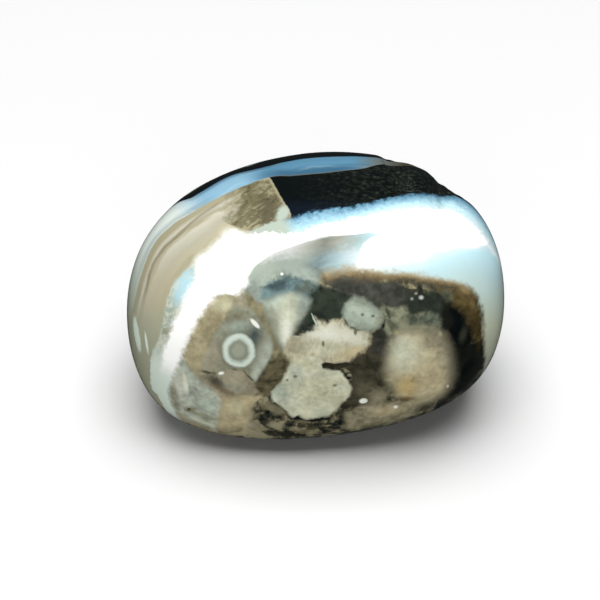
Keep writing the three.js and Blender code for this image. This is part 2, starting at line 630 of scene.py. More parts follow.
# The middle of the bands, in the pattern's coordinates in mm.
CORE = (1.5, -4.0, 5.0)

# The fields of places and distances span this many mm, which is more than the stone's length.
SPAN = 40

# No band reaches farther than this from the core, in mm.
FARTHEST = 20

# A crisp edge between two bands fades over this much on either side, in mm.
CRISP = 0.07

# An oval's field goes on rising to this many of its radii.
OVAL_REACH = 4

# Every spot goes this deep into the stone, in mm.
SPOT_DEPTH = 3.0

# How far each band reaches from the core: (turn, radius in mm), the turn clockwise from straight
# down as a share of a full circle, and its radius behind the stone.
CORE_EDGE = (
    (
        (0.0, 14.0), (0.1, 13.6), (0.18, 13.3), (0.207, 13.2), (0.228, 12.5), (0.254, 11.85),
        (0.289, 11.5), (0.324, 11.0), (0.336, 10.2), (0.36, 10.1), (0.387, 9.9), (0.41, 9.5),
        (0.436, 9.1), (0.479, 8.75), (0.528, 8.9), (0.579, 9.13), (0.601, 9.4), (0.622, 9.9),
        (0.639, 10.25), (0.652, 10.7), (0.666, 11.3), (0.676, 11.75), (0.69, 11.93), (0.704, 11.85),
        (0.74, 11.55), (0.767, 11.9), (0.8, 12.6), (0.9, 13.6), (1.0, 14.0),
    ),
    12.0,
)
WHITE_EDGE = (
    (
        (0.0, 16.4), (0.1, 15.6), (0.17, 14.6), (0.204, 14.1), (0.219, 14.45), (0.242, 14.15),
        (0.27, 13.6), (0.307, 13.75), (0.327, 13.4), (0.344, 13.1), (0.364, 12.65), (0.385, 12.6),
        (0.397, 11.95), (0.422, 11.6), (0.451, 11.35), (0.488, 11.35), (0.513, 11.45),
        (0.53, 11.8), (0.545, 12.3), (0.563, 13.1), (0.574, 13.7), (0.594, 14.9), (0.62, 16.4),
        (0.7, 17.0), (0.85, 17.0), (1.0, 16.4),
    ),
    14.6,
)
BROWN_EDGE = (
    (
        (0.0, 17.4), (0.15, 16.8), (0.258, 16.15), (0.286, 15.95), (0.317, 16.15), (0.333, 16.3),
        (0.356, 15.9), (0.372, 15.4), (0.389, 15.05), (0.423, 14.6), (0.446, 14.45),
        (0.462, 14.05), (0.487, 13.9), (0.505, 14.1), (0.522, 14.5), (0.534, 15.2), (0.547, 16.0),
        (0.57, 17.0), (0.65, 18.0), (0.85, 18.0), (1.0, 17.4),
    ),
    16.4,
)
BLUE_EDGE = (
    (
        (0.0, 18.6), (0.2, 18.8), (0.33, 18.8), (0.352, 18.3), (0.366, 17.6), (0.373, 17.2),
        (0.379, 16.6), (0.39, 16.4), (0.414, 16.4), (0.422, 16.25), (0.43, 16.0), (0.442, 15.85),
        (0.459, 15.8), (0.478, 15.85), (0.496, 15.85), (0.519, 16.1), (0.538, 16.5), (0.57, 17.8),
        (0.65, 18.6), (0.85, 18.6), (1.0, 18.0),
    ),
    17.4,
)
# The brown line along the brown band.
BROWN_LINE = (
    (
        (0.0, 16.6), (0.2, 15.6), (0.3, 15.3), (0.318, 15.5), (0.335, 15.4), (0.346, 15.15),
        (0.357, 14.95), (0.371, 14.8), (0.385, 14.6), (0.397, 14.45), (0.42, 14.5), (1.0, 16.6),
    ),
    15.6,
)

# How thick the frost on the outer side of the white band is: (turn, mm), and the most it can be.
WIDEST_FROST = 2.5
FROST_WIDTH = (
    (0.0, 0.6), (0.2, 0.8), (0.231, 0.9), (0.256, 0.65), (0.272, 0.65), (0.285, 0.85),
    (0.30, 1.05), (0.32, 0.9), (0.335, 0.45), (0.355, 0.15), (0.395, 0.2), (0.43, 0.65),
    (0.47, 0.95), (0.51, 0.9), (0.54, 1.05), (0.56, 1.3), (0.58, 1.6), (0.605, 2.0),
    (0.62, 2.2), (0.65, 2.3), (0.7, 1.2), (1.0, 0.6),
)

# Outlines in the pattern's u and v, in mm: the knot, the milky lobe at the right of the white band,
# and the smoky tongue beside it.
KNOT_OUTLINE = (
    (-8.6, 7.0), (-8.2, 8.4), (-6.8, 9.2), (-5.3, 9.6), (-4.4, 9.3), (-3.6, 9.5), (-3.2, 8.9),
    (-2.8, 8.1), (-2.4, 7.4), (-2.0, 6.8), (-1.9, 6.2), (-2.2, 5.7), (-2.8, 5.4), (-3.6, 5.1),
    (-4.7, 5.1), (-5.8, 5.4), (-6.6, 5.7), (-7.6, 6.2),
)
LOBE_OUTLINE = (
    (0.3, 5.5), (1.3, 6.1), (3.4, 6.6), (5.4, 7.1), (7.0, 7.4), (10.2, 7.6), (11.3, 7.3),
    (12.2, 6.3), (13.2, 5.2), (13.4, 4.6), (12.5, 4.1), (10.6, 4.0), (8.9, 3.7), (7.7, 3.0),
    (5.6, 2.8), (2.4, 2.6), (1.5, 3.1),
)
TONGUE_OUTLINE = (
    (5.6, 5.3), (4.3, 5.1), (2.7, 4.9), (1.1, 4.8), (-0.6, 4.4), (-2.3, 3.8), (-3.3, 3.4),
    (-4.0, 2.9), (-4.7, 2.3), (-5.1, 1.5), (-4.5, 0.7), (-3.0, 1.1), (-1.1, 1.5), (1.1, 1.6),
    (2.7, 1.8), (3.0, 2.5), (3.3, 3.2), (3.6, 4.2), (4.3, 4.8),
)

# Slivers and dark marks at the left end: colour, middle, radii in mm and turn anticlockwise in
# degrees. The mint slivers are painted reflections along the left edge; the moss-grey marks are
# dark stone.
LEFT_REFLECTIONS_AND_MARKS = (
    # painted reflections: the two mint slivers
    ("mint", (-13.76, -2.73, 5.1), (0.24, 1.35, 2.2), 10),
    ("mint", (-12.91, -3.4, 6.1), (0.1, 0.8, 2.2), 8),
    ("moss_grey", (-12.03, -4.7, 6.5), (0.09, 0.55, 1.6), 4),
    ("moss_grey", (-12.11, -6.1, 5.5), (0.1, 0.2, 1.6), 0),
)

# The ring eye, in the same coordinates: middle, radii in mm, and turn anticlockwise in degrees.
EYE_MIDDLE = (-5.75, -3.85, 9.4)
EYE_RADII = (1.22, 1.3, 3.0)
EYE_TURN = 20

# The fragments in the core, each laid over those before it: name, colour, colour of its markings,
# which noise marks it, how much, corners (u, v), depth w in mm, softness and ruggedness of the edge
# in mm, and the spots in it. A spot, dot, smear or line is: name, colour, middle (u, v, w) and
# radii across and up in mm, turn anticlockwise in degrees, strength from 0 to 1, and softness and
# ruggedness of the edge as shares of the radii.
FRAGMENTS = (
    (
        "grey veil at the top", "fog", "lichen", "clouds", 0.6,
        ((-5.1, 1.7), (-4.8, 2.5), (-4.0, 2.9), (-2.6, 2.9), (-1.1, 2.6), (-0.2, 2.3), (0.3, 1.8),
         (0.2, 1.1), (-0.5, 0.6), (-1.9, 0.1), (-3.2, -0.2), (-4.0, -0.3), (-4.5, -0.3),
         (-5.1, 0.2), (-5.3, 1.0)),
        10.9, 0.4, 0.3,
        (),
    ),
    (
        "tan band left of the eye", "sand", "bark", "mottle", 0.34,
        ((-6.9, 0.6), (-6.2, 0.0), (-6.1, -0.5), (-6.5, -1.1), (-6.9, -1.7), (-7.5, -2.4),
         (-8.0, -3.4), (-8.4, -4.4), (-8.6, -5.2), (-8.7, -5.8), (-9.3, -5.6), (-9.8, -5.0),
         (-10.2, -4.2), (-10.0, -3.1), (-9.4, -2.1), (-8.6, -1.1), (-7.8, -0.2)),
        9.1, 0.3, 0.3,
        (
            ("pale top of the tan band", "bone_warm", (-6.8, -0.4, 10.3),
             (0.82, 0.52), 20, 0.8, 0.9, 0.4),
            ("shade in the tan band", "bark", (-7.9, -2.1, 9.7), (0.52, 0.90), -35, 0.4, 0.8, 0.5),
        ),
    ),
    (
        "frosted corner", "frost", "frost_dark", "mottle", 0.65,
        ((-10.1, -4.2), (-9.7, -5.1), (-9.3, -5.6), (-8.7, -6.1), (-8.1, -6.7), (-7.5, -7.2),
         (-7.1, -7.7), (-7.3, -8.5), (-7.3, -9.2), (-7.5, -10.1), (-8.8, -9.8), (-9.9, -9.3),
         (-11.1, -8.4), (-11.3, -7.3), (-11.0, -6.1), (-10.6, -5.2)),
        6.1, 0.3, 0.3,
        (
            ("grey strip by the white band", "frost_warm", (-10.4, -6.3, 6.7),
             (0.45, 1.50), 12, 0.8, 0.6, 0.3),
            ("bright streak", "shell", (-9.9, -6.4, 6.8), (0.18, 0.67), 8, 0.85, 0.7, 0.4),
            ("dark edge by the white band", "plum_light", (-10.9, -7.3, 5.5),
             (0.30, 1.35), 14, 0.7, 0.7, 0.3),
            ("bright swirl", "mint_dim", (-8.3, -8.1, 6.1), (0.60, 0.49), -20, 0.8, 0.5, 0.9),
            ("dark spot low left", "plum_light", (-9.6, -8.5, 5.2),
             (0.45, 0.22), -5, 0.9, 0.5, 0.5),
            ("second dark spot", "bark_dark", (-9.7, -8.5, 5.1), (0.15, 0.12), 0, 0.9, 0.5, 0.4),
            ("dark curve low left", "moss_light", (-8.6, -9.0, 5.1),
             (1.05, 0.18), -20, 0.8, 0.5, 0.3),
            ("pale curve low left", "bone", (-8.7, -9.5, 4.5), (0.97, 0.14), -21, 0.9, 0.6, 0.3),
        ),
    ),
    (
        "brown arc", "ochre", "bark", "mottle", 0.6,
        ((-5.1, 0.4), (-4.5, -0.1), (-3.8, -0.5), (-3.1, -1.2), (-2.6, -1.9), (-2.3, -2.9),
         (-2.2, -3.8), (-2.1, -4.2), (-2.8, -4.3), (-3.4, -4.2), (-4.1, -3.8), (-4.5, -2.6),
         (-5.0, -1.5), (-5.1, -0.2)),
        10.2, 0.38, 0.3,
        (),
    ),
    (
        "eye stone", "sage", "sage_light", "clouds", 0.5,
        ((-6.4, -0.6), (-5.8, -0.4), (-4.9, -0.6), (-4.4, -1.1), (-4.0, -1.7), (-3.6, -2.2),
         (-3.3, -2.8), (-3.2, -3.4), (-3.2, -4.0), (-3.4, -4.6), (-3.8, -5.3), (-4.2, -5.8),
         (-4.5, -6.3), (-4.8, -6.0), (-5.2, -5.4), (-5.9, -5.3), (-6.6, -5.4), (-7.6, -5.5),
         (-8.6, -5.5), (-8.6, -4.9), (-8.4, -4.3), (-7.9, -3.3), (-7.4, -2.4), (-6.8, -1.5)),
        9.3, 0.2, 0.25,
        (
            ("brown side", "warm_grey", (-7.7, -4.2, 8.8), (0.97, 1.27), -30, 0.85, 0.7, 0.4),
            ("brown top", "bark", (-5.9, -1.1, 10.4), (0.90, 0.52), 0, 0.5, 0.8, 0.5),
            ("grey over the ring", "teal", (-5.6, -2.1, 10.2), (0.90, 0.45), 0, 0.75, 0.7, 0.4),
            ("pale side", "frost", (-3.7, -4.2, 9.4), (0.52, 1.12), -20, 0.8, 0.8, 0.5),
            ("pale tip", "frost", (-4.4, -5.6, 8.5), (0.37, 0.60), -30, 0.7, 0.7, 0.5),
            ("shade beside the ring", "slate_dark", (-4.6, -2.9, 10.0),
             (0.45, 0.82), -25, 0.9, 0.8, 0.2),
            ("shade round the ring", "moss_grey", (-5.8, -3.8, 9.4),
             (1.42, 1.50), 0, 0.5, 0.25, 0.1),
        ),
    ),
    (
        "foot of the wedge", "ochre", "bark", "mottle", 0.8,
        ((-3.0, -3.8), (-2.3, -3.8), (-1.7, -4.1), (-1.5, -4.7), (-1.8, -5.4), (-2.5, -5.2),
         (-3.0, -4.9), (-3.4, -4.8)),
        9.2, 0.3, 0.3,
        (),
    ),
    (
        "brown slip", "bark", "pitch", "mottle", 0.75,
        ((-3.5, -4.7), (-2.7, -4.2), (-2.3, -4.3), (-1.8, -5.0), (-2.2, -6.0), (-2.8, -6.5),
         (-3.2, -7.2), (-4.0, -7.4), (-4.6, -6.8), (-4.4, -6.2), (-3.9, -5.4)),
        8.4, 0.3, 0.4,
        (),
    ),
    (
        "tan below the eye", "warm_grey", "plum_light", "clouds", 0.7,
        ((-8.7, -5.5), (-7.6, -5.5), (-6.1, -5.3), (-5.4, -5.4), (-4.7, -6.1), (-4.6, -6.7),
         (-4.3, -7.1), (-5.1, -7.3), (-6.0, -7.3), (-6.7, -7.4), (-7.3, -7.1), (-8.1, -6.6),
         (-8.6, -6.1)),
        7.6, 0.25, 0.3,
        (
            ("purple bloom", "plum_light", (-7.9, -6.0, 7.7), (0.75, 0.45), -30, 0.7, 0.7, 0.6),
            ("dark line of the smear", "umber", (-8.2, -5.5, 8.0),
             (0.67, 0.13), -8, 0.85, 0.6, 0.5),
            ("smear below the eye", "plum", (-7.5, -6.3, 7.6), (0.67, 0.34), -35, 0.85, 0.7, 0.5),
            ("brown under the bloom", "rust_dark", (-6.8, -7.0, 7.2),
             (0.97, 0.19), -28, 0.6, 0.7, 0.5),
            ("fold in the tan", "bark", (-5.5, -7.3, 7.2), (0.82, 0.15), 4, 0.7, 0.6, 0.4),
            ("grey in the fold", "frost_dark", (-6.1, -6.7, 7.6), (0.90, 0.37), -10, 0.5, 0.7, 0.5),
            ("crack", "pitch", (-5.9, -5.3, 8.5), (0.52, 0.08), -8, 0.9, 0.5, 0.2),
            ("crack going down", "pitch", (-4.9, -5.9, 8.2), (0.67, 0.10), -45, 0.95, 0.5, 0.2),
        ),
    ),
    (
        "sand at the foot", "sand", "sand_warm", "mottle", 0.5,
        ((-7.5, -7.2), (-6.6, -7.5), (-5.7, -7.3), (-4.8, -7.3), (-4.0, -7.3), (-4.5, -7.8),
         (-5.0, -8.3), (-5.1, -9.2), (-5.2, -10.0), (-5.5, -10.6), (-6.4, -10.5), (-7.4, -10.3),
         (-7.6, -9.6), (-7.2, -8.5), (-7.1, -7.7)),
        5.9, 0.35, 0.4,
        (
            ("pale spot in the sand", "bone_warm", (-6.0, -8.3, 6.3),
             (0.60, 0.60), 0, 0.5, 0.8, 0.6),
        ),
    ),
    (
        "slate", "slate", "slate_dark", "mottle", 0.9,
        ((-4.1, 0.0), (-4.0, 0.9), (-3.2, 1.5), (-2.2, 1.8), (-1.0, 1.7), (-0.2, 1.3), (0.3, 0.9),
         (0.1, 0.2), (-0.7, -0.1), (-1.7, 0.5), (-2.4, 0.2), (-3.3, -0.2)),
        11.2, 0.3, 0.4,
        (
            ("light blue in the slate", "slate_light", (-3.7, 0.4, 11.0),
             (0.52, 0.37), 20, 0.8, 0.7, 0.7),
            ("dark of the slate", "slate_deep", (-2.8, 1.0, 11.1), (0.67, 0.30), 5, 0.7, 0.6, 0.8),
            ("dark end of the slate", "moss_grey", (-0.6, 0.9, 11.3),
             (0.67, 0.45), 0, 0.6, 0.7, 0.6),
        ),
    ),
    (
        "moss left", "moss", "moss_black", "mottle", 0.9,
        ((-0.7, -0.2), (-0.3, 0.6), (0.5, 1.0), (1.5, 0.9), (2.4, 0.6), (3.0, 0.2), (2.6, -0.5),
         (2.2, -1.3), (1.5, -1.6), (0.8, -1.6), (0.3, -1.5), (0.1, -2.1), (-0.3, -2.5),
         (-1.1, -2.4), (-1.5, -2.1), (-1.1, -1.5), (-0.7, -1.0)),
        11.0, 0.28, 0.5,
        (),
    ),
    (
        "cream wedge", "lichen", "fog", "clouds", 0.6,
        ((-3.9, -0.1), (-2.9, 0.3), (-1.8, 0.5), (-1.0, 0.4), (-0.4, 0.0), (-0.5, -0.7),
         (-1.0, -1.4), (-1.4, -2.0), (-1.7, -2.8), (-2.0, -3.5), (-2.3, -3.7), (-2.7, -3.3),
         (-3.1, -2.3), (-3.4, -1.5), (-3.7, -0.8)),
        10.7, 0.4, 0.3,
        (
            ("mint top of the wedge", "mint_dim", (-2.8, -0.3, 11.1),
             (1.05, 0.37), 10, 0.7, 0.7, 0.4),
            ("shade right of the wedge", "fog", (-0.8, -0.6, 11.1),
             (0.60, 1.12), -10, 0.8, 0.8, 0.4),
            ("pale heart of the wedge", "bone", (-2.1, -1.2, 10.9),
             (0.67, 1.50), -6, 0.9, 0.9, 0.3),
            ("bright heart of the wedge", "shell", (-2.2, -2.3, 10.5),
             (0.34, 1.05), 0, 1, 0.9, 0.2),
            ("tan side of the wedge", "straw", (-3.1, -1.3, 10.8), (0.22, 0.90), 14, 0.5, 0.8, 0.4),
        ),
    ),
    (
        "plum under the brown rim", "plum_grey", "moss_black", "mottle", 0.7,
        ((0.5, 1.5), (1.8, 1.8), (3.7, 1.5), (5.8, 1.2), (6.9, 0.8), (7.5, 0.1), (7.0, -0.7),
         (6.0, -0.7), (5.4, -0.5), (4.7, -0.7), (3.8, -0.1), (2.7, 0.3), (1.5, 0.7)),
        10.9, 0.3, 0.5,
        (),
    ),
    (
        "brown corner", "gold_brown", "bark_dark", "mottle", 0.85,
        ((8.9, 1.0), (9.0, 1.5), (10.0, 1.7), (10.7, 1.7), (11.7, 1.3), (12.5, 0.4), (13.0, -0.7),
         (13.1, -2.1), (13.1, -3.6), (12.4, -3.5), (11.2, -2.3), (10.2, -0.9), (9.4, 0.0)),
        7.9, 0.3, 0.4,
        (
            ("green in the brown corner", "moss_grey", (9.8, 0.3, 9.4),
             (0.52, 0.45), -35, 0.7, 0.8, 0.9),
            ("light in the brown corner", "gold", (11.2, 0.9, 8.4),
             (0.52, 0.22), -35, 0.6, 0.7, 0.7),
            ("dark foot of the brown corner", "bark_dark", (12.4, -2.0, 7.0),
             (0.97, 1.27), 0, 0.85, 0.9, 0.6),
        ),
    ),
    (
        "moss right", "moss_black", "moss", "mottle", 0.5,
        ((6.9, 0.4), (7.9, 0.8), (9.0, 0.8), (9.7, 0.4), (10.1, -0.3), (10.1, -1.3), (9.2, -1.3),
         (8.5, -0.9), (7.8, -1.0), (7.0, -1.2), (6.8, -0.6)),
        9.8, 0.45, 0.5,
        (),
    ),
    (
        "grey over the oval", "moss_grey", "moss", "specks", 0.7,
        ((6.7, -1.2), (7.7, -1.0), (8.6, -0.8), (9.4, -1.1), (9.7, -1.8), (9.1, -2.4),
         (7.9, -2.3), (7.0, -2.4), (6.6, -1.9)),
        9.7, 0.25, 0.45,
        (
            ("line over the oval", "straw", (7.9, -2.0, 9.7), (1.05, 0.10), -3, 0.3, 0.8, 0.9),
        ),
    ),
    (
        "black rim", "soot", "pitch", "clouds", 0.4,
        ((9.6, -0.1), (10.4, -0.3), (11.0, -0.7), (11.6, -1.7), (12.2, -3.1), (13.5, -3.0),
         (13.8, -4.3), (12.9, -5.6), (12.6, -6.5), (11.4, -7.4), (10.0, -8.2), (9.1, -8.9),
         (9.6, -7.4), (9.8, -5.5), (9.7, -3.8), (9.5, -2.4), (9.4, -1.2)),
        7.3, 0.5, 0.5,
        (
            ("streak in the black rim", "moss_light", (11.2, -2.6, 7.9),
             (0.24, 0.52), -15, 0.12, 0.95, 0.6),
            ("brown edge of the black rim", "bark_dark", (12.6, -2.5, 6.7),
             (0.26, 1.20), -3, 0.8, 0.8, 0.4),
        ),
    ),
    (
        "dark zone", "umber", "pitch", "mottle", 0.9,
        ((2.0, -4.8), (2.7, -3.9), (3.6, -3.8), (4.4, -3.3), (5.3, -3.4), (5.6, -4.9),
         (5.4, -6.1), (5.7, -7.3), (4.7, -8.4), (3.0, -8.6), (2.1, -8.1), (2.6, -7.0),
         (2.9, -6.1), (2.6, -5.4)),
        8.2, 0.4, 0.5,
        (
            ("olive in the dark zone", "ochre", (3.6, -6.8, 7.6), (0.75, 0.60), 20, 0.25, 0.8, 0.9),
            ("light foot of the dark zone", "straw", (4.9, -7.5, 6.8),
             (0.75, 0.67), 20, 0.7, 0.7, 0.9),
        ),
    ),
    (
        "plum slip", "plum", "moss_black", "mottle", 0.7,
        ((4.3, -2.4), (4.8, -2.1), (5.4, -2.0), (5.4, -2.7), (5.4, -3.4), (5.6, -4.1),
         (5.1, -4.4), (4.5, -4.1), (4.1, -3.6), (4.2, -3.0)),
        9.8, 0.16, 0.3,
        (),
    ),
    (
        "strip at the foot", "straw", "bark", "mottle", 0.7,
        ((2.4, -8.7), (3.5, -8.1), (4.4, -7.8), (5.4, -7.7), (6.6, -7.9), (8.1, -7.7),
         (9.0, -7.5), (9.3, -8.2), (7.9, -8.9), (6.1, -9.5), (4.0, -9.9), (2.4, -9.8)),
        5.3, 0.45, 0.5,
        (
            ("pale foot of the strip", "sand_warm", (5.6, -8.5, 5.7),
             (1.20, 0.37), 8, 0.6, 0.7, 0.5),
            ("dark end of the strip", "pitch", (8.8, -8.1, 4.6), (1.20, 0.45), 14, 0.9, 0.7, 0.5),
        ),
    ),
    (
        "slab's shadow", "soot", "pitch", "mottle", 0.5,
        ((-3.5, -7.3), (-3.3, -7.8), (-2.5, -8.4), (-1.9, -9.2), (-1.1, -9.3), (0.1, -9.4),
         (1.2, -9.1), (0.7, -8.4), (-1.0, -8.4), (-2.2, -7.2)),
        6.4, 0.15, 0.2,
        (),
    ),
    (
        "clump", "wool", "straw", "fur", 0.6,
        ((-1.9, -2.8), (-1.1, -2.7), (-0.5, -2.4), (-0.0, -2.1), (0.2, -1.7), (-0.1, -1.3),
         (0.5, -1.6), (0.9, -1.7), (1.4, -1.4), (1.8, -1.6), (2.0, -1.3), (2.3, -1.8),
         (2.9, -2.3), (3.8, -2.3), (4.1, -2.7), (4.0, -3.4), (3.6, -3.9), (2.9, -4.3),
         (2.5, -4.7), (1.5, -4.8), (0.6, -4.8), (0.1, -5.3), (-1.0, -5.3), (-1.8, -4.7),
         (-2.3, -4.0), (-2.2, -3.2)),
        10.1, 0.26, 0.5,
        (
            ("tan foot of the clump", "sand_warm", (2.9, -4.0, 9.6),
             (1.42, 0.52), 8, 0.8, 0.7, 0.6),
            ("tan side of the clump", "straw", (-1.4, -3.5, 9.9), (0.67, 0.82), 0, 0.6, 0.8, 0.6),
            ("bright top of the clump", "shell", (1.0, -2.5, 10.4),
             (1.50, 0.60), 0, 0.95, 0.8, 1.6),
            ("bright side of the clump", "shell", (2.7, -2.8, 10.2),
             (0.97, 0.45), -10, 0.75, 0.8, 1.6),
            ("bright middle of the clump", "bone", (0.6, -3.7, 9.8),
             (1.35, 0.52), 0, 0.6, 0.8, 1.2),
            ("dot in the clump", "bark", (0.6, -3.3, 10.1), (0.11, 0.22), 0, 0.9, 0.5, 0.3),
            ("second dot in the clump", "bark", (3.0, -2.4, 10.4), (0.11, 0.22), 0, 0.9, 0.5, 0.3),
            ("third dot in the clump", "ochre", (-0.2, -4.1, 9.6), (0.22, 0.15), 30, 0.6, 0.6, 0.6),
        ),
    ),
    (
        "green slip", "moss_light", "moss", "mottle", 0.7,
        ((5.0, -0.3), (5.8, -0.6), (6.8, -0.4), (7.1, -1.2), (6.9, -1.9), (6.3, -2.5),
         (5.5, -2.7), (5.1, -2.1), (5.2, -1.4), (4.8, -0.9)),
        10.4, 0.2, 0.45,
        (
            ("crack in the green slip", "moss", (5.4, -0.9, 10.7), (0.12, 0.60), 18, 0.8, 0.6, 0.5),
            ("gold dot by the oval", "gold", (6.1, -2.5, 10.0), (0.15, 0.15), 0, 0.8, 0.6, 0.3),
        ),
    ),
    (
        "lozenge", "lichen", "lichen_dark", "mottle", 0.5,
        ((2.9, 0.3), (3.6, 0.1), (4.3, -0.4), (4.9, -0.9), (5.1, -1.5), (4.8, -2.0), (4.1, -2.3),
         (3.4, -2.3), (2.7, -2.1), (2.2, -1.7), (2.0, -1.0), (2.2, -0.3), (2.6, 0.0)),
        10.8, 0.25, 0.3,
        (
            ("heart of the lozenge", "mint_dim", (3.0, -1.0, 11.0),
             (0.67, 0.52), -20, 0.85, 0.7, 0.5),
            ("second heart", "mint_dim", (4.1, -1.4, 10.7), (0.52, 0.37), -20, 0.7, 0.7, 0.5),
            ("dark top of the lozenge", "moss_grey", (3.2, -0.1, 11.2),
             (0.52, 0.30), -30, 0.5, 0.7, 0.5),
            ("tan end of the lozenge", "straw", (4.8, -1.6, 10.6), (0.30, 0.37), 0, 0.5, 0.8, 0.5),
            ("dot in the lozenge", "moss_grey", (3.5, -1.1, 10.9), (0.13, 0.11), 0, 0.9, 0.5, 0.4),
            ("second dot", "moss_grey", (4.3, -1.2, 10.8), (0.13, 0.10), 0, 0.9, 0.5, 0.4),
            ("dark line of the lozenge", "umber", (2.3, -1.7, 10.8),
             (0.37, 0.09), -62, 0.9, 0.5, 0.3),
            ("foot of the line", "umber", (2.8, -2.1, 10.6), (0.30, 0.08), -20, 0.8, 0.5, 0.3),
        ),
    ),
    (
        "big oval", "oval", "oval_grey", "clouds", 0.4,
        ((5.5, -4.2), (5.7, -3.2), (6.1, -2.5), (6.9, -2.1), (7.9, -2.2), (9.0, -2.3),
         (9.7, -2.7), (10.1, -3.5), (10.4, -4.5), (10.6, -5.6), (10.4, -6.5), (9.8, -7.3),
         (9.0, -7.7), (7.9, -7.8), (6.9, -7.7), (6.3, -7.3), (5.7, -6.3), (5.4, -5.3)),
        7.7, 0.75, 0.35,
        (
            ("bright side of the oval", "bone", (6.6, -3.9, 9.1), (1.12, 1.35), 12, 0.95, 0.9, 0.3),
            ("tan heart of the oval", "sand_warm", (8.9, -5.9, 7.1),
             (1.20, 0.97), 0, 0.6, 0.8, 0.3),
            ("golden foot of the oval", "gold", (7.0, -6.6, 7.2), (0.75, 0.82), 0, 0.95, 0.9, 0.3),
            ("brown spot of the oval", "rust_dark", (7.0, -7.6, 6.3),
             (0.67, 0.22), 0, 0.9, 0.7, 0.4),
            ("grey corner of the oval", "plum_light", (9.2, -3.1, 8.8),
             (0.90, 0.75), -30, 0.9, 0.8, 0.7),
            ("grey side of the oval", "plum_light", (10.7, -5.0, 6.9),
             (0.82, 2.10), 5, 0.95, 0.9, 0.5),
            ("tan top of the oval", "straw", (7.1, -2.4, 9.8), (1.05, 0.30), 0, 0.6, 0.8, 0.6),
        ),
    ),
    (
        "pale slab", "bone", "bone_warm", "mottle", 0.4,
        ((-3.3, -7.0), (-2.6, -6.3), (-2.2, -5.5), (-1.9, -4.9), (-1.1, -4.4), (-0.3, -4.2),
         (0.5, -4.4), (0.6, -5.2), (2.0, -5.4), (2.5, -6.1), (2.8, -6.8), (2.5, -7.5),
         (2.1, -7.8), (1.7, -8.4), (1.1, -8.9), (0.1, -9.1), (-0.8, -9.2), (-1.2, -8.9),
         (-1.8, -9.0), (-2.4, -8.3), (-3.3, -7.6)),
        7.6, 0.15, 0.25,
        (
            ("tan neck of the slab", "bone_warm", (-0.7, -4.9, 9.1),
             (0.82, 0.37), 10, 0.8, 0.9, 0.5),
            ("green tip of the slab", "lichen", (-2.6, -7.1, 7.5), (0.75, 0.75), 0, 0.8, 0.8, 0.4),
            ("green side of the slab", "frost", (-1.5, -5.6, 8.6), (0.67, 0.67), 0, 0.6, 0.8, 0.4),
            ("tan side of the slab", "straw", (1.8, -7.6, 7.1), (0.52, 0.60), 0, 0.5, 0.8, 0.6),
            ("tan heart of the slab", "bone_warm", (0.1, -6.8, 7.7),
             (1.20, 0.90), 0, 0.6, 0.9, 0.6),
            ("dot in the slab", "moss_grey", (-1.5, -5.8, 8.5), (0.15, 0.11), 0, 0.8, 0.5, 0.5),
            ("second dot in the slab", "moss_grey", (-2.1, -6.1, 8.3),
             (0.11, 0.09), 0, 0.8, 0.5, 0.5),
            ("third dot in the slab", "bark", (1.5, -6.5, 8.0), (0.15, 0.10), 0, 0.7, 0.5, 0.5),
        ),
    ),
    (
        "slit", "pitch", "umber", "specks", 0.3,
        ((0.5, -4.9), (0.7, -4.7), (1.5, -4.8), (2.5, -4.7), (2.7, -4.9), (2.1, -5.1),
         (1.2, -5.2), (0.6, -5.1)),
        9.0, 0.08, 0.1,
        (),
    ),
    (
        "blade by the tooth", "mint_dim", "lichen", "specks", 0.3,
        ((-0.3, -1.0), (-0.2, -1.1), (0.0, -1.5), (0.2, -1.8), (0.1, -2.0), (-0.0, -1.8),
         (-0.2, -1.4)),
        10.9, 0.05, 0.08,
        (),
    ),
)

